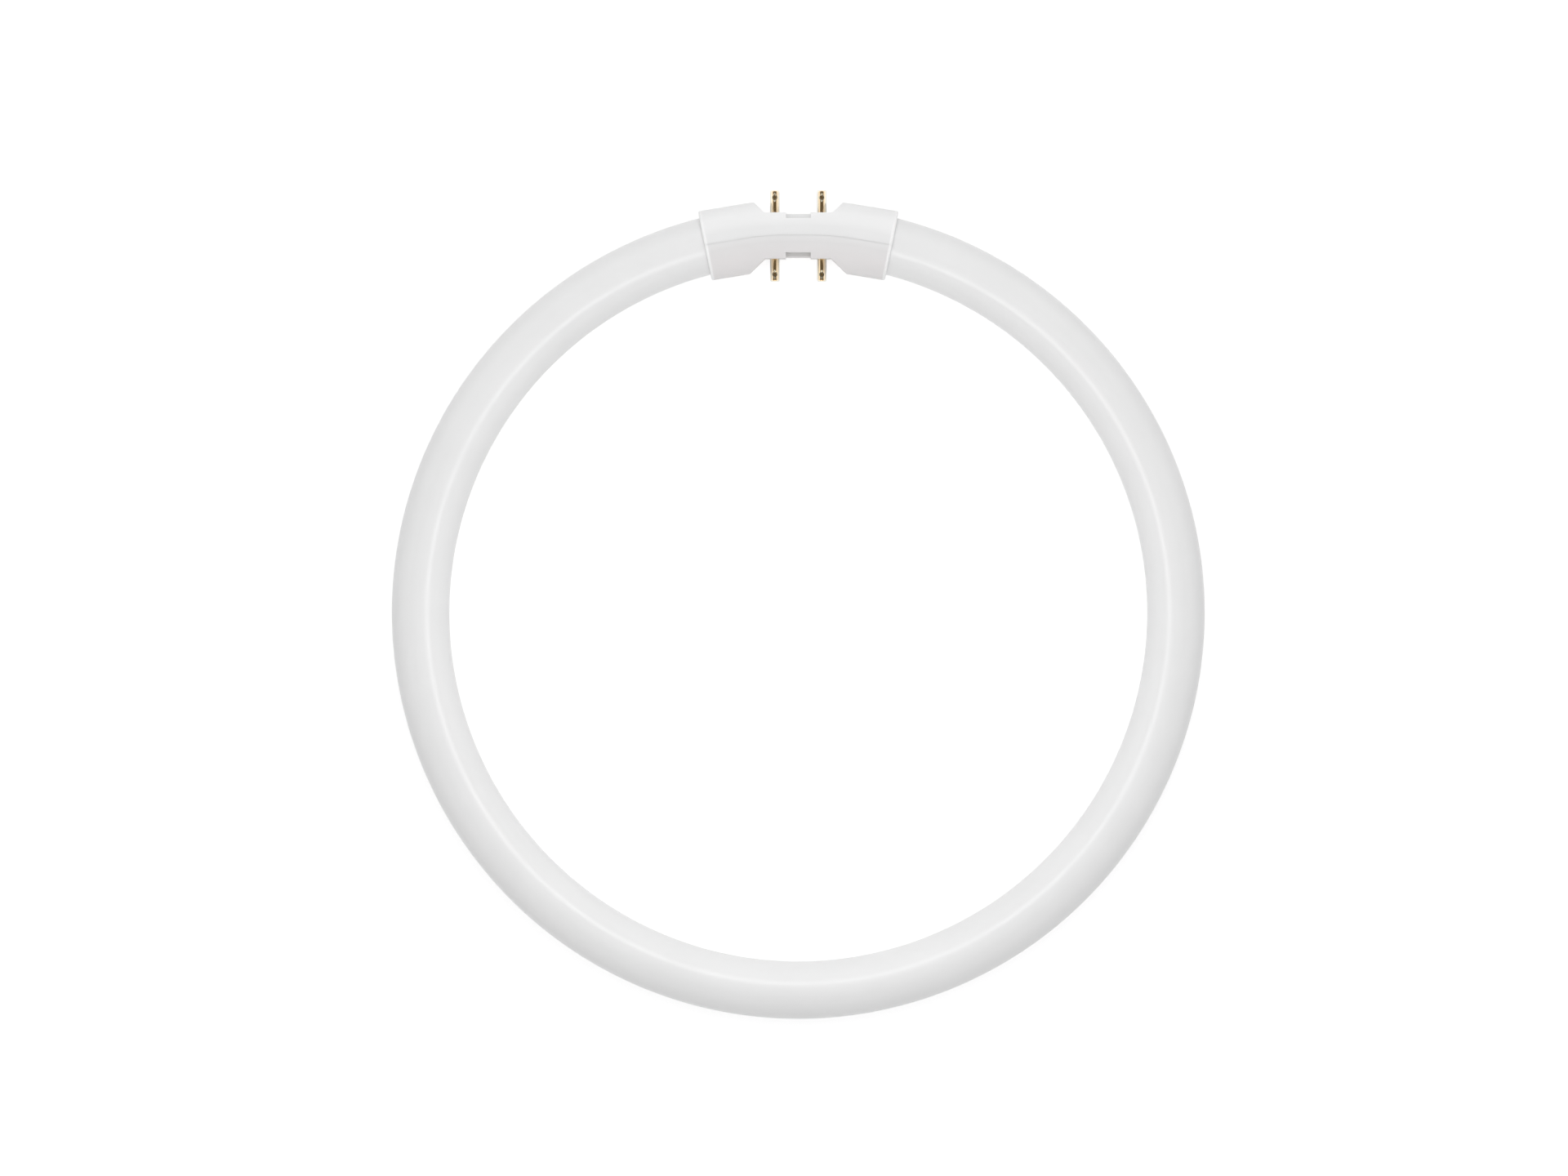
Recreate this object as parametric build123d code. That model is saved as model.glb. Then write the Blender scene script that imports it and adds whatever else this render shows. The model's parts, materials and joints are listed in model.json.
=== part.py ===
from build123d import *
import os
from math import cos, degrees, radians, sin, sqrt, tan

# Circular LED lamp: an opal glass ring of thin tube whose ends meet in a white two-shell cap with four pins.
# Millimetres. The origin is the ring's centre at mid-height, Z is the ring's axis, and the cap is at +Y.

# Glass tube
ring_outer_diameter = 225.0
tube_diameter = 16.0
tube_wall = 1.0

# Cap: a straight waist that carries the pins, and at each end a sleeve that slopes down to take a tube end
cap_length = 52.2             # along the tube's centreline, rim to rim
sleeve_wall = 1.6
sleeve_clearance = 0.1        # tube to sleeve bore
sleeve_lift = 0.2             # the sleeve's middle line leaves its rim this much outside the tube's centreline
bend_radius = 60.0            # of the middle line between waist and sleeve
rim_chamfer = 0.4
tube_insertion = 10.5         # how far each tube end goes into its sleeve
stop_width = 0.9              # how far the stop that the tube's end meets stands in from the bore
waist_length = 18.4           # along the inner flat
outer_flat_extra = 0.5        # the outer flat is this much longer
waist_width = 12.7            # across the two flats
waist_inset = 0.3             # the waist's middle lies this much inside the tube's centreline
waist_wall = 1.6
shoulder_slope = 45.0         # degrees from the flat to the shoulder

# Grip pockets in the middle of both flats, front and back, with a land between front and back
pocket_length = 6.8
pocket_depth = 1.6
pocket_wall = 1.2
land_depth = 0.35             # the land lies this much below the flat
land_thickness = 8.4

# Seam: a tongue of the outer shell stands in a groove of the inner shell, and laps it in the sleeves
tongue_height = 1.0
tongue_thickness = 0.75
tongue_clearance = 0.08
tongue_lap = 3.0              # how far the tongue runs past the stop into each sleeve

# Pins
pin_diameter = 2.6
pin_spacing = 13.0
pin_reach = 6.3               # beyond the flat
pin_tip_round = 0.5
pin_seat_diameter = 3.0       # the thicker stretch in the flat's hole
pin_hole_clearance = 0.05
pin_bore_diameter = 1.2
pin_tip_wall = 0.8
collar_diameter = 3.6
collar_thickness = 0.6
dimple_from_tip = 2.0
dimple_width = 2.0
dimple_length = 2.6
dimple_depth = 0.45
dimple_slope = 40.0           # degrees of its four sides from straight in
pin_lead_width = 1.0
pin_lead_thickness = 0.5

# LED strip, a flexible circuit taped to the tube's outermost wall
strip_width = 8.0
strip_thickness = 0.2
strip_wall_clearance = 0.04   # strip corners and tape to the tube's bore
strip_end_gap = 1.9           # from the tube's end
tape_width = 6.4
led_count = 60
led_length = 3.5
led_width = 2.8
led_height = 0.7
first_led_distance = 7.5      # from the tube's end

# Driver board across the cap's middle, clamped between ribs of the two shells
board_thickness = 1.0
board_side_gap = 0.3
board_edge = 0.25             # board beyond the strip leads
rib_thickness = 1.2
rib_overlap = 0.8             # how far a rib reaches over the board's edge
rib_station = 10.2            # distance of the ribs from the middle
rib_root = 0.8                # how far a rib is rooted in the wall

# Parts on the board
part_gap = 0.4
chip_size = (4.9, 3.9, 1.5)
bridge_size = (4.7, 3.9, 2.4)
leg_width = 0.45
leg_reach = 1.0
leg_thickness = 0.2
capacitor_length = 8.0
choke_size = (4.2, 6.0, 3.4)
choke_corner = 0.6
resistor_size = (6.3, 3.1, 0.9)
resistor_cap = 0.7
resistor_cap_step = 0.1
strip_lead_width = 2.4        # a flat flexible lead
strip_lead_thickness = 0.3
strip_lead_bend = 0.8
strip_lead_rise = 1.9
strip_lead_pad = 2.4
strip_lead_clearance = 0.03

# What follows from the sizes above
ring_radius = (ring_outer_diameter - tube_diameter) / 2
tube_radius = tube_diameter / 2
tube_bore_radius = tube_radius - tube_wall
bore_sag = tube_insertion**2 / (8 * ring_radius)     # how far the tube bends away from its straight bore
bore_radius = tube_radius + sleeve_clearance + bore_sag / 2
sleeve_radius = bore_radius + sleeve_wall
cavity_radius = bore_radius - stop_width
waist_middle = ring_radius - waist_inset
outer_flat = waist_middle + waist_width / 2
inner_flat = waist_middle - waist_width / 2
pin_radius = pin_diameter / 2
pin_places = (-pin_spacing / 2, pin_spacing / 2)
board_outer_face = waist_middle + board_thickness / 2
board_inner_face = waist_middle - board_thickness / 2
component_room = waist_width / 2 - waist_wall - board_thickness / 2


def arc_angle(distance):
    """Degrees that a distance along the tube's centreline takes."""
    return degrees(distance / ring_radius)


rim_angle = arc_angle(cap_length / 2)
stop_angle = arc_angle(cap_length / 2 - tube_insertion)
grip_angle = (rim_angle + stop_angle) / 2
tongue_half_length = ring_radius * sin(radians(stop_angle)) + tongue_lap
strip_angle = stop_angle + arc_angle(strip_end_gap)

# The board is as long as what it carries, and narrow enough to reach into the tube
side_part_start = (pin_spacing + collar_diameter) / 2 + part_gap
can_diameter = component_room - part_gap / 2
widest_side_part = max(can_diameter, choke_size[0], resistor_size[1])
strip_lead_place = side_part_start + widest_side_part + (part_gap + strip_lead_thickness) / 2
board_half_length = strip_lead_place + strip_lead_thickness / 2 + board_edge
board_half_width = sqrt(tube_bore_radius**2 - (board_thickness / 2) ** 2) - board_side_gap

ON_BASE = (Align.CENTER, Align.CENTER, Align.MIN)
SECTION = Plane(origin=(ring_radius, 0, 0), x_dir=(1, 0, 0), z_dir=(0, -1, 0))


def along_ring(section, start, end):
    """Turn a section about the ring's axis. Its x points outward; angles run from the cap's middle."""
    swept = revolve(SECTION * section, axis=Axis.Z, revolution_arc=end - start)
    return Rot(0, 0, 90 + start) * swept


def mirrored(solid):
    """The same solid on the other side of the cap's middle."""
    return mirror(solid, about=Plane.YZ)


def at_ring(angle, radius):
    """The place at a radius from the ring's axis and an angle from the cap's middle, with x along the ring."""
    return Rot(0, 0, -angle) * Pos(0, radius, 0)


def past_plane():
    """A large block on the right of the plane x = 0, to cut with."""
    return Box(cap_length, cap_length, cap_length, align=(Align.MIN, Align.CENTER, Align.CENTER))


def tube():
    """One open glass pipe. Its ends meet the stops in the cap."""
    return along_ring(Circle(tube_radius) - Circle(tube_bore_radius), stop_angle, 360 - stop_angle)


def waist_outline(inset):
    """The cap seen from the front: flats over the waist and shoulders sloping away, set in by a wall."""
    inner_half = waist_length / 2
    outer_half = inner_half + outer_flat_extra / 2
    rise = cap_length / 2
    run = rise / tan(radians(shoulder_slope))
    right = [
        (outer_half, outer_flat),
        (outer_half + run, outer_flat + rise),
        (inner_half + run, inner_flat - rise),
        (inner_half, inner_flat),
    ]
    corners = right + [(-x, y) for x, y in reversed(right)]
    outline = make_face(Polyline(*corners, close=True))
    if inset:
        outline = offset(outline, -inset, kind=Kind.INTERSECTION)
    return extrude(outline, amount=tube_diameter, both=True)


def beyond(flat, side, depth, length, z_from, z_to):
    """A block over the middle of a flat, from a depth below it outward, between two heights."""
    block = Box(length, depth + waist_width, z_to - z_from, align=(Align.CENTER, Align.MIN, Align.MIN))
    if side < 0:
        block = Rot(180, 0, 0) * block
        return Pos(0, flat + depth, z_to) * block
    return Pos(0, flat - depth, z_from) * block


def pockets(depth, length, land):
    """The four grip pockets as solids to cut, grown by a wall where they shape the cavity."""
    blocks = []
    for flat, side in ((outer_flat, 1), (inner_flat, -1)):
        blocks.append(beyond(flat, side, depth, length, land / 2, tube_diameter))
        blocks.append(beyond(flat, side, depth, length, -tube_diameter, -land / 2))
    return Part() + blocks


def rim_place():
    """The middle of the right-hand rim. Its plane is square to the tube in the middle of its grip."""
    rim_middle = at_ring(rim_angle, ring_radius + sleeve_lift).position
    return Pos(rim_middle.X, rim_middle.Y, 0) * Rot(0, 0, -grip_angle)


def cap_line():
    """The cap's middle line: straight over the waist, then bent down to both rims and a little past them."""
    bend = Vector(waist_length / 2, waist_middle)
    rim = rim_place().position
    end = rim + (rim - bend).normalized() * sleeve_wall
    return FilletPolyline(
        (-end.X, end.Y), (-bend.X, bend.Y), (bend.X, bend.Y), (end.X, end.Y), radius=bend_radius
    )


def along_cap(section):
    """Sweep a section along the cap's middle line. Its x points down to the ring's centre, its y up."""
    line = cap_line()
    start = Plane(origin=line @ 0, x_dir=(line % 0).cross(Vector(0, 0, 1)), z_dir=line % 0)
    return sweep(start * section, path=line)


def cap_form():
    """The cap's outside as one solid, before it is hollowed and split."""
    past_rim = rim_place() * past_plane()
    body = along_cap(Circle(sleeve_radius)) - past_rim - mirrored(past_rim)
    rims = body.faces().filter_by(GeomType.PLANE)
    body = chamfer(rims.edges(), rim_chamfer)
    lands = [
        beyond(flat, side, land_depth, pocket_length, -tube_diameter, tube_diameter)
        for flat, side in ((outer_flat, 1), (inner_flat, -1))
    ]
    return (body & waist_outline(0)) - pockets(pocket_depth, pocket_length, land_thickness) - lands


def cap_hollow():
    """Everything that is open inside the cap: the cavity and the two sleeves' bores."""
    past_stop = at_ring(stop_angle, ring_radius) * past_plane()
    cavity = along_cap(Circle(cavity_radius)) & waist_outline(waist_wall)
    cavity = cavity - past_stop - mirrored(past_stop) - pockets(
        pocket_depth + pocket_wall, pocket_length + 2 * pocket_wall, land_thickness - 2 * pocket_wall
    )
    straight = at_ring(grip_angle, ring_radius - bore_sag / 2) * Rot(0, 90, 0)
    bore = straight * Cylinder(bore_radius, 2 * tube_insertion) & past_stop
    return [cavity, bore, mirrored(bore)]


def pin_holes():
    """The holes in the flats for the four pins."""
    drill = Cylinder(pin_seat_diameter / 2 + pin_hole_clearance, 2 * waist_width)
    return [Pos(x, waist_middle, 0) * Rot(90, 0, 0) * drill for x in pin_places]


def tongues(clearance):
    """The two tongues below the seam, or with a clearance the grooves that take them."""
    thickness = tongue_thickness + 2 * clearance
    height = tongue_height + clearance
    section = Pos(height / 2, bore_radius + tongue_thickness / 2) * Rectangle(height, thickness)
    reach = Pos(0, waist_middle, 0) * Box(2 * (tongue_half_length + clearance), cap_length, cap_length)
    front = along_cap(section) & reach
    return front + mirror(front, about=Plane.XY)


def below_seam():
    """All that lies on the ring's side of the cap's middle line, where the two shells part."""
    line = cap_line()
    start = line @ 0
    end = line @ 1
    rest = Polyline((end.X, end.Y), (end.X, 0), (start.X, 0), (start.X, start.Y))
    return extrude(make_face(line.edges() + rest.edges()), amount=cap_length, both=True)


def ribs(face, side, form):
    """The ribs on one side of the board. They bear on its edges and are rooted in the shell's wall."""
    height = component_room + waist_wall / 2
    inner = board_half_width - rib_overlap
    reach = cavity_radius + rib_root
    block = Box(rib_thickness, height, reach - inner, align=(Align.CENTER, Align.MIN, Align.MIN))
    core = along_cap(Circle(reach))
    blocks = []
    for x in (-rib_station, rib_station):
        for turn in (0, 180):
            placed = Rot(0, turn, 0) * Pos(0, 0, inner) * block
            if side < 0:
                placed = mirror(placed, about=Plane.XZ)
            blocks.append(Pos(x, face, 0) * placed)
    return [(rib & core & form) for rib in blocks]


def cap_shells():
    """The two moulded shells, parted along the cap's middle line."""
    form = cap_form()
    cap = form
    for opening in cap_hollow():
        cap = cap - opening
    cap = cap - pin_holes()
    inside = below_seam()
    outer_shell = (cap - inside) + (cap & tongues(0))
    inner_shell = (cap & inside) - tongues(tongue_clearance)
    outer_shell = outer_shell + ribs(board_outer_face, 1, form)
    inner_shell = inner_shell + ribs(board_inner_face, -1, form)
    return outer_shell, inner_shell


def crimp_dimple():
    """A four-sided punch mark, cut from the +Y side of a pin that stands on the XY plane."""
    half_width = dimple_width / 2
    half_length = dimple_length / 2
    mark = make_face(
        Polyline((half_width, 0), (0, half_length), (-half_width, 0), (0, -half_length), close=True)
    )
    facing = Plane(origin=(0, pin_radius, pin_reach - dimple_from_tip), x_dir=(1, 0, 0), z_dir=(0, 1, 0))
    return extrude(facing * mark, amount=-dimple_depth, taper=dimple_slope)


def pin():
    """A hollow contact pin with its flat at z = 0 and its tip up."""
    corners = [
        (0, -waist_wall - collar_thickness),
        (collar_diameter / 2, -waist_wall - collar_thickness),
        (collar_diameter / 2, -waist_wall),
        (pin_seat_diameter / 2, -waist_wall),
        (pin_seat_diameter / 2, 0),
        (pin_radius, 0),
        (pin_radius, pin_reach),
        (0, pin_reach),
    ]
    profile = make_face(Polyline(*corners, close=True))
    tip_corner = profile.vertices().sort_by(Axis.Y)[-2:].sort_by(Axis.X)[-1]
    turned = revolve(Plane.XZ * fillet(tip_corner, pin_tip_round), axis=Axis.Z)
    back = -waist_wall - collar_thickness
    bore = Pos(0, 0, back) * Cylinder(pin_bore_diameter / 2, pin_reach - pin_tip_wall - back, align=ON_BASE)
    dimple = crimp_dimple()
    return turned - bore - dimple - mirror(dimple, about=Plane.XZ)


def pin_lead():
    """The flat blade that runs from the board's face into a pin, where the crimp holds it."""
    foot = waist_width / 2 - board_thickness / 2
    top = pin_reach - pin_tip_wall - part_gap
    return Pos(0, 0, -foot) * Box(pin_lead_width, pin_lead_thickness, foot + top, align=ON_BASE)


def at_pins(name, solid):
    """The four copies of a pin's piece, each named and placed on its flat."""
    copies = {}
    for row, flat, turn in (("outer", outer_flat, -90), ("inner", inner_flat, 90)):
        for hand, x in zip(("left", "right"), pin_places):
            copies[f"{name}_{row}_{hand}"] = Pos(x, flat, 0) * Rot(turn, 0, 0) * solid
    return copies


strip_fit_radius = tube_bore_radius - strip_wall_clearance
strip_offset = sqrt(strip_fit_radius**2 - (strip_width / 2) ** 2)
strip_inner_radius = ring_radius + strip_offset - strip_thickness


def led_strip():
    """The flexible circuit, a flat band that stands on edge in the tube."""
    section = Pos(strip_offset - strip_thickness / 2, 0) * Rectangle(strip_thickness, strip_width)
    return along_ring(section, strip_angle, 360 - strip_angle)


def strip_tape():
    """The double-sided tape between the strip's back and the tube's wall."""
    outer = sqrt(strip_fit_radius**2 - (tape_width / 2) ** 2)
    section = Pos((strip_offset + outer) / 2, 0) * Rectangle(outer - strip_offset, tape_width)
    return along_ring(section, strip_angle, 360 - strip_angle)


def led_chips():
    """The LEDs, evenly spaced along the strip and facing the ring's centre."""
    back = sqrt(strip_inner_radius**2 - (led_length / 2) ** 2)
    chip = Box(led_length, led_height, led_width, align=(Align.CENTER, Align.MAX, Align.CENTER))
    first = stop_angle + arc_angle(first_led_distance)
    step = (360 - 2 * first) / (led_count - 1)
    places = [first + i * step for i in range(led_count)]
    return Compound(children=[Rot(0, 0, angle) * Pos(0, back, 0) * chip for angle in places])


def driver_board():
    """The board across the middle of the cap."""
    return Pos(0, waist_middle, 0) * Box(2 * board_half_length, board_thickness, 2 * board_half_width)


def on_board(side, x, solid):
    """Seat a part that stands on the XY plane on the board's outer or inner face."""
    face = board_outer_face if side > 0 else board_inner_face
    return Pos(x, face, 0) * Rot(-90 * side, 0, 0) * solid


def flat_pack(size, legs_a_side, leg_pitch):
    """A moulded chip package with bent legs along its two long sides."""
    length, width, height = size
    body = Pos(0, 0, leg_thickness) * Box(length, width, height - leg_thickness, align=ON_BASE)
    pieces = body
    for side in (-1, 1):
        for i in range(legs_a_side):
            x = (i - (legs_a_side - 1) / 2) * leg_pitch
            foot = Box(leg_width, leg_reach, leg_thickness, align=ON_BASE)
            pieces += Pos(x, side * (width / 2 + leg_reach / 2), 0) * foot
            riser = Box(leg_width, leg_thickness, height / 2, align=ON_BASE)
            pieces += Pos(x, side * (width / 2 + leg_thickness / 2), 0) * riser
    return pieces


def side_part_place(width):
    """Distance from the middle for a part that stands just beyond a pin's collar."""
    return side_part_start + width / 2


def smoothing_capacitor():
    """A small can lying on the board."""
    can = Pos(0, 0, can_diameter / 2) * Rot(90, 0, 0) * Cylinder(can_diameter / 2, capacitor_length)
    return on_board(1, -side_part_place(can_diameter), can)


def choke():
    """A moulded power choke with a metal foot at each end."""
    length, width, height = choke_size
    body = Pos(0, 0, leg_thickness) * Box(length, width, height - leg_thickness, align=ON_BASE)
    body = chamfer(body.edges().filter_by(Axis.Z), choke_corner)
    foot = Box(length / 2, choke_corner + leg_thickness, leg_thickness, align=ON_BASE)
    feet = [Pos(0, side * (width - choke_corner) / 2, 0) * foot for side in (-1, 1)]
    return on_board(1, side_part_place(length), body + feet)


def fuse_resistor(x):
    """A flat power resistor with a wrapped metal cap at each end."""
    length, width, height = resistor_size
    body = Box(width, length - 2 * resistor_cap, height - 2 * resistor_cap_step, align=ON_BASE)
    cap = Box(width + 2 * resistor_cap_step, resistor_cap, height, align=ON_BASE)
    caps = [Pos(0, side * (length - resistor_cap) / 2, 0) * cap for side in (-1, 1)]
    return on_board(-1, x, Pos(0, 0, resistor_cap_step) * body + caps)


def strip_lead():
    """The flat lead from the board's end to the strip's solder pad, on the right-hand side."""
    reach = strip_inner_radius - strip_lead_thickness / 2 - strip_lead_clearance
    pad_start = radians(strip_angle)
    pad_end = radians(strip_angle + arc_angle(strip_lead_pad))
    route = FilletPolyline(
        (strip_lead_place, board_outer_face, 0),
        (strip_lead_place, board_outer_face + strip_lead_rise, 0),
        (reach * sin(pad_start), reach * cos(pad_start), 0),
        (reach * sin(pad_end), reach * cos(pad_end), 0),
        radius=strip_lead_bend,
    )
    section = Rectangle(strip_lead_thickness, strip_lead_width)
    return sweep(Plane(origin=route @ 0, x_dir=(1, 0, 0), z_dir=route % 0) * section, path=route)


def all_nodes():
    """Every piece of the lamp by its node's name."""
    outer_shell, inner_shell = cap_shells()
    lead = strip_lead()
    nodes = {
        "tube": tube(),
        "cap_outer_shell": outer_shell,
        "cap_inner_shell": inner_shell,
        "led_strip": led_strip(),
        "strip_tape": strip_tape(),
        "led_chips": led_chips(),
        "driver_board": driver_board(),
        "control_chip": on_board(1, 0, flat_pack(chip_size, 4, chip_size[0] / 4)),
        "bridge_rectifier": on_board(-1, 0, flat_pack(bridge_size, 2, bridge_size[0] / 2)),
        "smoothing_capacitor": smoothing_capacitor(),
        "choke": choke(),
        "fuse_resistor_left": fuse_resistor(-side_part_place(resistor_size[1])),
        "fuse_resistor_right": fuse_resistor(side_part_place(resistor_size[1])),
        "strip_lead_left": mirrored(lead),
        "strip_lead_right": lead,
    }
    nodes.update(at_pins("pin", pin()))
    nodes.update(at_pins("pin_lead", pin_lead()))
    return nodes


os.makedirs("parts", exist_ok=True)
for name, solid in all_nodes().items():
    export_step(solid, f"parts/{name}.step")
    print(name, round(solid.volume, 2))
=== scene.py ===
import json
import math

import bpy
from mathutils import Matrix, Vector

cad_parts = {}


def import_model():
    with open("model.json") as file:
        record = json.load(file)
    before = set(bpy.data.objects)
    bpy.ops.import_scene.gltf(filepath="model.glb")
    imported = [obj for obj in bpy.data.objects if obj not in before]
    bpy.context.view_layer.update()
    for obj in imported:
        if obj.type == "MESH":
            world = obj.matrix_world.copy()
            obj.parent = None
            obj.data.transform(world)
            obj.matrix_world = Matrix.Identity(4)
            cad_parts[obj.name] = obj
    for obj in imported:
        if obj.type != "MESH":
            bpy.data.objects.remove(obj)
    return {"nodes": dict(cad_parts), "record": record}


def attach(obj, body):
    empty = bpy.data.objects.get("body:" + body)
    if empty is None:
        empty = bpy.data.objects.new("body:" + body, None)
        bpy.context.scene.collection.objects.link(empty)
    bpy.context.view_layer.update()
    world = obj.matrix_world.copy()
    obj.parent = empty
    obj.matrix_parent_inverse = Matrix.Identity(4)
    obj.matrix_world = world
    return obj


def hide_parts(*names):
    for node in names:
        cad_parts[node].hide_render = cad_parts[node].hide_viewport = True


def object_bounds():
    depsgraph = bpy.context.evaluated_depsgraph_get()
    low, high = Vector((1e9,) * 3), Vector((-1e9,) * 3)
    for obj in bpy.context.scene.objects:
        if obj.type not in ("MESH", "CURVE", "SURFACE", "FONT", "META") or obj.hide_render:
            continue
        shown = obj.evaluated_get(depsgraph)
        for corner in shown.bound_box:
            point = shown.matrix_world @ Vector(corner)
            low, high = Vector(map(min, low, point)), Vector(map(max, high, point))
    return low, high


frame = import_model()
cad_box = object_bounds()
nodes = frame["nodes"]

MM = 0.001

# The glass tube's own details, in millimetres. Its other sizes come from the solid.
TUBE_WALL = 1.0
END_ROUND = 0.35

# How finely the tube's skin is divided: over a rounded edge, round the tube, along its outside and its bore
ROUND_STEPS = 5
TUBE_SIDES = 72
OUTSIDE_STEPS = 480
BORE_STEPS = 160

# The cap's tones by distance from the ring's axis, in millimetres. They are painted light and shade:
# lighter toward the outer flat where the light falls, darkest just inside the middle
CAP_PAINTED_SHADING = (
    (95.0, (0.83, 0.81, 0.81)),
    (99.0, (0.81, 0.79, 0.79)),
    (102.5, (0.77, 0.76, 0.76)),
    (105.0, (0.83, 0.83, 0.83)),
    (107.0, (0.84, 0.84, 0.84)),
    (108.8, (0.89, 0.89, 0.89)),
    (111.0, (0.93, 0.93, 0.93)),
)

# The pockets in the cap's inner flat, in millimetres: half their length, the places of their paler lip and
# of their end wall, and their floors' height from the middle. Their tone is painted darker: painted shade
# in the recess.
POCKET_HALF = 3.45
POCKET_LIP = 98.45
POCKET_END = 99.5
POCKET_FLOOR = 4.15
POCKET_PAINTED_SHADE = (0.68, 0.67, 0.66)

# The cap's rims: their tilt in degrees, and in millimetres their distance from the ring's axis along that
# direction and the width of their paler edge, a painted highlight where the rims catch the light
RIM_TILT = 11.4
RIM_DISTANCE = 4.85
RIM_WIDTH = 0.5
RIM_PAINTED_HIGHLIGHT = (0.98, 0.98, 0.98)

# Gold plating: its tones from straight on, its tone at a glancing angle as a painted sheen, and how soon
# that comes in
GOLD_DEEP = (0.90, 0.59, 0.26)
GOLD_BRIGHT = (0.97, 0.66, 0.32)
GOLD_PAINTED_SHEEN = (1.0, 1.0, 0.9)
GOLD_GLANCE = 0.85

# The pins' drawn lines, in features a metre across the pin and along it
LINES_ACROSS = 6000.0
LINES_ALONG = 300.0

# Softened edges and fine relief, in millimetres
CAP_EDGE_ROUND = 0.1
PIN_EDGE_ROUND = 0.1
GLASS_GRAIN = 0.02
CAP_GRAIN = 0.01
PIN_GRAIN = 0.01

# Rays that look for an edge to soften
EDGE_SAMPLES = 6

# How far light spreads under the surface, in millimetres
GLASS_SPREAD = 2.0
CAP_SPREAD = 1.0

# The stretch of a noise's values over which a ramp runs from its first to its second colour
RAMP_START = 0.3
RAMP_END = 0.7

# The photograph's frame, and the ring's centre and outer radius in it, in pixels
FRAME_WIDTH = 1920
FRAME_HEIGHT = 1440
RING_CENTRE_X = 977.5
RING_CENTRE_Y = 749.9
RING_OUTER_RADIUS = 497.7

# The camera, with its height in metres and its sensor in millimetres
CAMERA_HEIGHT = 4.0
SENSOR_WIDTH = 36.0

# The floor: half its width in metres, its own colour, and the light it adds where it has to show white
FLOOR_HALF = 6.0
FLOOR_GREY = 0.6
FLOOR_WHITE = 0.62

# The surroundings' levels, and the heights (sine of the elevation) between which they fade
ROUND_ABOUT = 0.79
OVERHEAD = 0.095
OVERHEAD_START = 0.62
OVERHEAD_FULL = 0.8

# Round lights, turned to the ring's centre: their name, place and width in metres, power in watts, and
# whether they show in reflections
LIGHTS = (
    ("ring_light", (0.0, 0.0, 0.205), 0.06, 0.066, True),
    ("overhead_light", (0.0, 0.0, 2.2), 2.6, 20.8, False),
    ("top_light", (0.0, 1.6, 1.35), 1.6, 8.0, False),
)


def grey(level):
    """A colour with three equal parts."""
    return (level, level, level)


def material(name):
    """A new node material, with its tree and its Principled shader."""
    made = bpy.data.materials.new(name)
    made.use_nodes = True
    return made, made.node_tree, made.node_tree.nodes["Principled BSDF"]


def feed(tree, node, values):
    """Feed inputs of a node, given by name or number, with outputs of other nodes, numbers or colours."""
    for key, value in values.items():
        socket = node.inputs[key]
        if isinstance(value, bpy.types.NodeSocket):
            tree.links.new(value, socket)
        elif socket.type == "RGBA":
            socket.default_value = (*value, 1.0)
        else:
            socket.default_value = value


def add(tree, kind, values=None, **properties):
    """A new node with its properties set and its inputs fed."""
    node = tree.nodes.new(kind)
    for name, value in properties.items():
        setattr(node, name, value)
    feed(tree, node, values or {})
    return node


def calculate(tree, operation, *values):
    """One step of arithmetic on outputs or numbers."""
    return add(tree, "ShaderNodeMath", dict(enumerate(values)), operation=operation).outputs[0]


def blend(tree, kind, share, first, second):
    """Two colours mixed or multiplied. Each may be an output or three numbers."""
    both = add(tree, "ShaderNodeMix", data_type="RGBA", blend_type=kind)
    numbers = [number for number, socket in enumerate(both.inputs) if socket.enabled]
    feed(tree, both, dict(zip(numbers, (share, first, second))))
    return next(socket for socket in both.outputs if socket.enabled)


def fade(tree, value, start, end, low=0.0, high=1.0, shape="LINEAR"):
    """A number that goes from low to high as a value goes from start to end."""
    limits = {"Value": value, "From Min": start, "From Max": end, "To Min": low, "To Max": high}
    return add(tree, "ShaderNodeMapRange", limits, interpolation_type=shape).outputs[0]


def ramp(tree, value, low, high):
    """A noise's values turned into tones between two colours."""
    step = add(tree, "ShaderNodeValToRGB", {"Fac": value})
    for stop, position, colour in zip(step.color_ramp.elements, (RAMP_START, RAMP_END), (low, high)):
        stop.position = position
        stop.color = (*colour, 1.0)
    return step.outputs["Color"]


def object_place(tree):
    """The place on the object in its own coordinates, in metres."""
    return add(tree, "ShaderNodeTexCoord").outputs["Object"]


def noise(tree, scale, detail=3.0, roughness=0.55):
    """Noise in the object's own coordinates. The scale is in features a metre."""
    settings = {"Vector": object_place(tree), "Scale": scale, "Detail": detail, "Roughness": roughness}
    return add(tree, "ShaderNodeTexNoise", settings).outputs["Fac"]


def bump(tree, height, strength, depth, edge=0.0):
    """Relief from a 0 to 1 value, over rounded edges. Its depth and their radius are in millimetres."""
    relief = add(tree, "ShaderNodeBump", {"Height": height, "Strength": strength, "Distance": depth * MM})
    if edge:
        soft = add(tree, "ShaderNodeBevel", {"Radius": edge * MM}, samples=EDGE_SAMPLES)
        feed(tree, relief, {"Normal": soft.outputs["Normal"]})
    return relief.outputs["Normal"]


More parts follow.
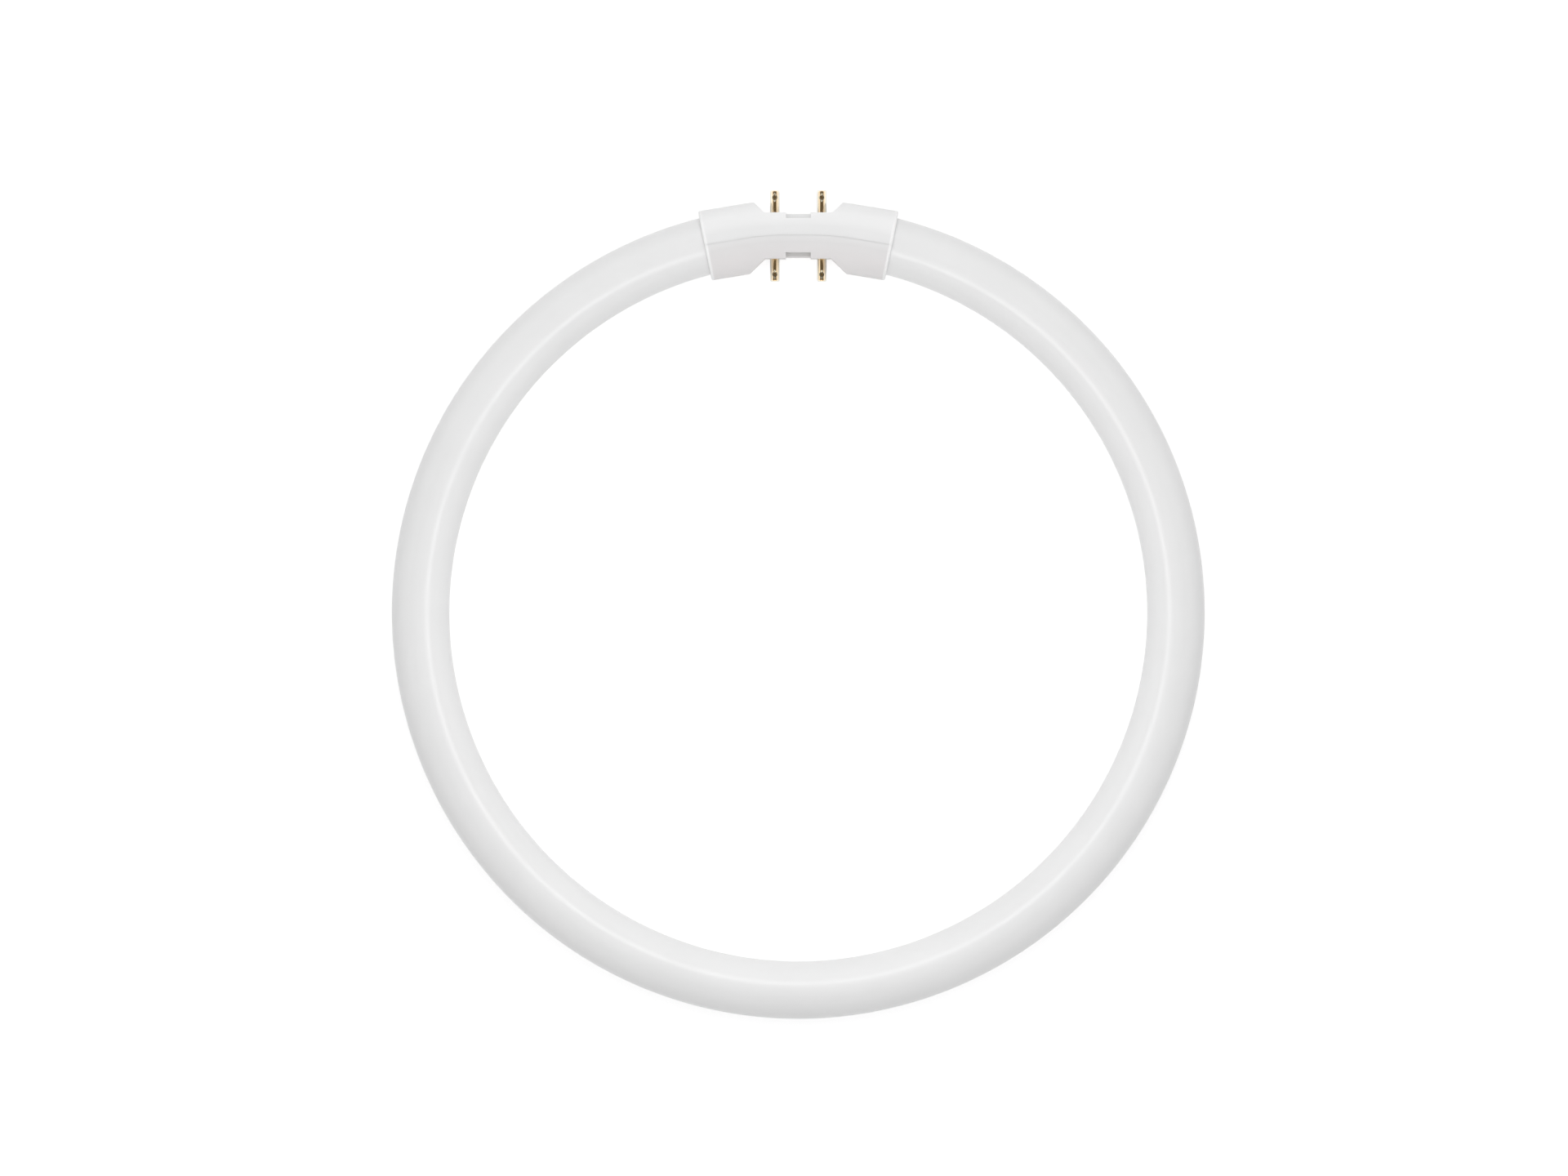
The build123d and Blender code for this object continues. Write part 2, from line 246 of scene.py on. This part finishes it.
def opal_glass():
    """Satin opal glass: an even milky white with a faint cloud in the coating and a soft gloss."""
    made, tree, shader = material("opal_glass")
    feed(tree, shader, {
        "Base Color": ramp(tree, noise(tree, 55.0), grey(0.835), grey(0.855)),
        "Roughness": ramp(tree, noise(tree, 240.0, 4.0), grey(0.28), grey(0.33)),
        "IOR": 1.5,
        "Specular IOR Level": 0.45,
        "Subsurface Weight": 0.15,
        "Subsurface Scale": GLASS_SPREAD * MM,
        "Subsurface Radius": (1.0, 1.0, 1.0),
        "Normal": bump(tree, noise(tree, 900.0, 2.0), 0.08, GLASS_GRAIN),
    })
    return made


def cap_coordinates(tree):
    """Two distances in metres: from the ring's axis, and towards the nearer rim along its sleeve."""
    tilt = math.radians(RIM_TILT)
    sleeve = (math.cos(tilt), -math.sin(tilt), 0.0)
    kind = "ShaderNodeVectorMath"
    flat = add(tree, kind, {0: object_place(tree), 1: (1.0, 1.0, 0.0)}, operation="MULTIPLY")
    from_axis = add(tree, kind, {0: flat.outputs["Vector"]}, operation="LENGTH")
    one_side = add(tree, kind, {0: flat.outputs["Vector"]}, operation="ABSOLUTE")
    to_rim = add(tree, kind, {0: one_side.outputs["Vector"], 1: sleeve}, operation="DOT_PRODUCT")
    return from_axis.outputs["Value"], to_rim.outputs["Value"]


def cap_painted_tone(tree, from_axis):
    """The cap's tone at a distance from the ring's axis: painted light and shade."""
    first = CAP_PAINTED_SHADING[0][0]
    last = CAP_PAINTED_SHADING[-1][0]
    tone = add(tree, "ShaderNodeValToRGB", {"Fac": fade(tree, from_axis, first * MM, last * MM)})
    stops = tone.color_ramp.elements
    # New stops start halfway and are moved to their own places below
    while len(stops) < len(CAP_PAINTED_SHADING):
        stops.new(0.5)
    for stop, (distance, colour) in zip(stops, CAP_PAINTED_SHADING):
        stop.position = (distance - first) / (last - first)
        stop.color = (*colour, 1.0)
    return tone.outputs["Color"]


def pocket_shade_mask(tree):
    """1 inside the pockets of the inner flat, past their lip, where the painted shade goes, and 0 elsewhere
    on the cap.
    """
    parts = add(tree, "ShaderNodeSeparateXYZ", {0: object_place(tree)})
    across = calculate(tree, "ABSOLUTE", parts.outputs["X"])
    height = calculate(tree, "ABSOLUTE", parts.outputs["Z"])
    mask = calculate(tree, "LESS_THAN", across, POCKET_HALF * MM)
    for condition, distance, limit in (
        ("GREATER_THAN", parts.outputs["Y"], POCKET_LIP),
        ("LESS_THAN", parts.outputs["Y"], POCKET_END),
        ("GREATER_THAN", height, POCKET_FLOOR),
    ):
        met = calculate(tree, condition, distance, limit * MM)
        mask = calculate(tree, "MULTIPLY", mask, met)
    return mask


def cap_plastic():
    """White moulded plastic, a little translucent, with a very fine grain, faint flow marks and soft edges.

    It is painted duller over the middle and, as painted shade, in the thin pockets, and painted lighter
    toward the outer flat where the light falls, with a painted highlight on the rims.
    """
    made, tree, shader = material("cap_plastic")
    from_axis, to_rim = cap_coordinates(tree)
    # Painted light and shade by distance from the axis, with painted shade in the pockets
    tone = blend(tree, "MIX", pocket_shade_mask(tree), cap_painted_tone(tree, from_axis), POCKET_PAINTED_SHADE)
    flow = ramp(tree, noise(tree, 90.0), grey(0.985), grey(1.0))
    body = blend(tree, "MULTIPLY", 1.0, tone, flow)
    # A painted highlight: the rims' edges are painted paler, where they catch the light
    rim = fade(tree, to_rim, (RIM_DISTANCE - RIM_WIDTH) * MM, RIM_DISTANCE * MM)
    feed(tree, shader, {
        "Base Color": blend(tree, "MIX", rim, body, RIM_PAINTED_HIGHLIGHT),
        "Roughness": ramp(tree, noise(tree, 700.0), grey(0.46), grey(0.54)),
        "IOR": 1.5,
        "Specular IOR Level": 0.3,
        "Subsurface Weight": 0.3,
        "Subsurface Scale": CAP_SPREAD * MM,
        "Subsurface Radius": (1.0, 1.0, 1.0),
        "Normal": bump(tree, noise(tree, 4200.0, 2.0), 0.25, CAP_GRAIN, CAP_EDGE_ROUND),
    })
    return made


def gold_plating():
    """Bright gold plating over drawn brass, with a painted sheen that makes it paler at a glancing angle,
    and fine lines along the pin.
    """
    made, tree, shader = material("gold_plating")
    stretch = (LINES_ACROSS, LINES_ALONG, LINES_ACROSS)
    stretched = add(tree, "ShaderNodeMapping", {"Vector": object_place(tree), "Scale": stretch})
    settings = {"Vector": stretched.outputs["Vector"], "Scale": 1.0, "Detail": 3.0}
    lines = add(tree, "ShaderNodeTexNoise", settings).outputs["Fac"]
    straight_on = ramp(tree, lines, GOLD_DEEP, GOLD_BRIGHT)
    # A painted sheen: the colour turns paler at a glancing angle, standing in for reflected light
    glancing = add(tree, "ShaderNodeLayerWeight", {"Blend": GOLD_GLANCE}).outputs["Facing"]
    feed(tree, shader, {
        "Base Color": blend(tree, "MIX", glancing, straight_on, GOLD_PAINTED_SHEEN),
        "Metallic": 1.0,
        "Roughness": ramp(tree, lines, grey(0.1), grey(0.18)),
        "Specular Tint": (0.3, 0.3, 0.32),
        "Normal": bump(tree, lines, 0.1, PIN_GRAIN, PIN_EDGE_ROUND),
    })
    return made


def plain(name, dark, light, roughness, metallic=0.0):
    """A hidden part's material: two close tones in a fine cloud, with a set gloss."""
    made, tree, shader = material(name)
    feed(tree, shader, {
        "Base Color": ramp(tree, noise(tree, 800.0), dark, light),
        "Roughness": roughness,
        "Metallic": metallic,
    })
    return made


def dress_nodes():
    """Give every carried-over solid its material."""
    finishes = {
        "opal_glass": opal_glass(),
        "cap_plastic": cap_plastic(),
        "gold_plating": gold_plating(),
        "tape_foam": plain("tape_foam", grey(0.74), grey(0.8), 0.8),
        "strip_film": plain("strip_film", grey(0.8), grey(0.84), 0.45),
        "led_yellow": plain("led_yellow", (0.8, 0.62, 0.12), (0.86, 0.7, 0.18), 0.3),
        "board_green": plain("board_green", (0.01, 0.1, 0.03), (0.02, 0.13, 0.04), 0.4),
        "black_resin": plain("black_resin", grey(0.012), grey(0.02), 0.5),
        "ferrite": plain("ferrite", grey(0.02), grey(0.035), 0.6),
        "can_film": plain("can_film", (0.01, 0.012, 0.03), (0.015, 0.018, 0.04), 0.25),
        "resistor_black": plain("resistor_black", grey(0.014), grey(0.022), 0.35),
        "blade_tinned": plain("blade_tinned", grey(0.6), grey(0.68), 0.3, 1.0),
        "lead_film": plain("lead_film", grey(0.72), grey(0.78), 0.4),
    }
    for part in frame["record"]["subparts"]:
        mesh = nodes[part["node"]].data
        mesh.materials.clear()
        mesh.materials.append(finishes[part["material_slot"]])
    return finishes


def tube_sizes():
    """The ring's radius, the tube's radius and the angle from the cap at which the tube starts."""
    solid = nodes["tube"]
    tube_radius = solid.dimensions.z / 2
    ring_radius = solid.dimensions.x / 2 - tube_radius
    start = min(math.atan2(abs(point.co.x), point.co.y) for point in solid.data.vertices)
    return ring_radius, tube_radius, start


def tube_profile(ring_radius, tube_radius, start):
    """The tube's wall unrolled: a loop of angles from the cap and radii from the tube's middle line."""
    bore_radius = tube_radius - TUBE_WALL * MM
    rounding = END_ROUND * MM
    rounding_angle = rounding / ring_radius
    end = 2 * math.pi - start

    def rounded(angle, radius, into_tube, into_wall):
        """A quarter round from a side of the wall to the tube's end."""
        points = []
        for k in range(ROUND_STEPS + 1):
            swing = (1 + k / ROUND_STEPS) * math.pi / 2
            points.append((
                angle + into_tube * rounding_angle * (1 + math.cos(swing)),
                radius + into_wall * rounding * (1 - math.sin(swing)),
            ))
        return points

    def along(first, last, radius, steps):
        """Points along the tube between its two ends."""
        return [(first + (last - first) * k / steps, radius) for k in range(1, steps)]

    return (
        rounded(start, tube_radius, 1, -1)[::-1]
        + along(start + rounding_angle, end - rounding_angle, tube_radius, OUTSIDE_STEPS)
        + rounded(end, tube_radius, -1, -1)
        + rounded(end, bore_radius, -1, 1)[::-1]
        + along(end - rounding_angle, start + rounding_angle, bore_radius, BORE_STEPS)
        + rounded(start, bore_radius, 1, 1)
    )


def tube_mesh():
    """The glass tube as one smooth closed skin: outside, bore and two fire-polished ends."""
    ring_radius, tube_radius, start = tube_sizes()
    profile = tube_profile(ring_radius, tube_radius, start)
    vertices = []
    faces = []
    for angle, radius in profile:
        for j in range(TUBE_SIDES):
            turn = 2 * math.pi * j / TUBE_SIDES
            reach = ring_radius + radius * math.cos(turn)
            vertices.append((reach * math.sin(angle), reach * math.cos(angle), radius * math.sin(turn)))
    for i in range(len(profile)):
        near = i * TUBE_SIDES
        far = (i + 1) % len(profile) * TUBE_SIDES
        for j in range(TUBE_SIDES):
            after = (j + 1) % TUBE_SIDES
            faces.append((near + j, near + after, far + after, far + j))
    mesh = bpy.data.meshes.new("glass_tube")
    mesh.from_pydata(vertices, [], faces)
    mesh.shade_smooth()
    return mesh


def tube_piece(glass):
    """The glass tube, in place of its solid."""
    mesh = tube_mesh()
    mesh.materials.append(glass)
    piece = bpy.data.objects.new("glass_tube", mesh)
    bpy.context.scene.collection.objects.link(piece)
    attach(piece, "root")
    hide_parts("tube")


def light_paths(tree):
    """Whether a ray comes from the camera, and whether from a reflection or through something clear."""
    path = add(tree, "ShaderNodeLightPath")
    reflected = path.outputs["Is Glossy Ray"]
    passed_through = path.outputs["Is Transmission Ray"]
    return path.outputs["Is Camera Ray"], calculate(tree, "MAXIMUM", reflected, passed_through)


def floor_white():
    """The floor's material: white to the camera and in reflections, with a soft shadow kept."""
    made, tree, shader = material("floor_white")
    feed(tree, shader, {"Base Color": grey(FLOOR_GREY), "Roughness": 0.9, "Specular IOR Level": 0.0})
    seen, mirrored = light_paths(tree)
    shown = calculate(tree, "MAXIMUM", seen, mirrored)
    glow = add(tree, "ShaderNodeEmission", {"Strength": calculate(tree, "MULTIPLY", shown, FLOOR_WHITE)})
    both = add(tree, "ShaderNodeAddShader", {0: shader.outputs[0], 1: glow.outputs[0]})
    feed(tree, tree.nodes["Material Output"], {"Surface": both.outputs[0]})
    return made


def floor(low):
    """A wide floor on which the lamp lies."""
    half = FLOOR_HALF
    corners = [(-half, -half, low), (half, -half, low), (half, half, low), (-half, half, low)]
    mesh = bpy.data.meshes.new("floor")
    mesh.from_pydata(corners, [], [(0, 1, 2, 3)])
    mesh.materials.append(floor_white())
    stage = bpy.data.objects.new("floor", mesh)
    bpy.context.scene.collection.objects.link(stage)


def world():
    """A pale studio, bright round about and dark overhead, where the camera stands.

    It is white to the camera, and white round about in reflections.
    """
    surround = bpy.data.worlds.new("studio")
    bpy.context.scene.world = surround
    surround.use_nodes = True
    tree = surround.node_tree
    direction = add(tree, "ShaderNodeTexCoord").outputs["Generated"]
    height = add(tree, "ShaderNodeSeparateXYZ", {0: direction}).outputs["Z"]
    level = fade(tree, height, OVERHEAD_START, OVERHEAD_FULL, ROUND_ABOUT, OVERHEAD, "SMOOTHSTEP")
    seen, mirrored = light_paths(tree)
    gain = calculate(tree, "MULTIPLY_ADD", mirrored, 1 / ROUND_ABOUT - 1, 1.0)
    raised = calculate(tree, "MULTIPLY", level, gain)
    strength = calculate(tree, "MAXIMUM", raised, seen)
    feed(tree, tree.nodes["Background"], {"Color": grey(1.0), "Strength": strength})


def area_light(name, place, width, power, mirrored):
    """A round soft light that points to the ring's centre."""
    light = bpy.data.lights.new(name, "AREA")
    light.shape = "DISK"
    light.size = width
    light.energy = power
    light_object = bpy.data.objects.new(name, light)
    light_object.location = place
    light_object.rotation_euler = (-Vector(place)).to_track_quat("-Z", "Y").to_euler()
    light_object.visible_camera = False
    light_object.visible_glossy = mirrored
    bpy.context.scene.collection.objects.link(light_object)


def camera():
    """A long lens straight above the ring, framed as the photograph is."""
    outer_radius = nodes["tube"].dimensions.x / 2
    pixel = outer_radius / RING_OUTER_RADIUS
    data = bpy.data.cameras.new("camera")
    data.sensor_width = SENSOR_WIDTH
    data.lens = SENSOR_WIDTH * CAMERA_HEIGHT / (FRAME_WIDTH * pixel)
    data.clip_end = CAMERA_HEIGHT + 2 * FLOOR_HALF
    across = (FRAME_WIDTH / 2 - RING_CENTRE_X) * pixel
    up = (RING_CENTRE_Y - FRAME_HEIGHT / 2) * pixel
    eye = bpy.data.objects.new("camera", data)
    eye.location = (across, up, CAMERA_HEIGHT)
    bpy.context.scene.collection.objects.link(eye)
    bpy.context.scene.camera = eye


finishes = dress_nodes()
tube_piece(finishes["opal_glass"])
floor(cad_box[0].z)
world()
for light_values in LIGHTS:
    area_light(*light_values)
camera()
bpy.context.scene.view_settings.view_transform = "Standard"
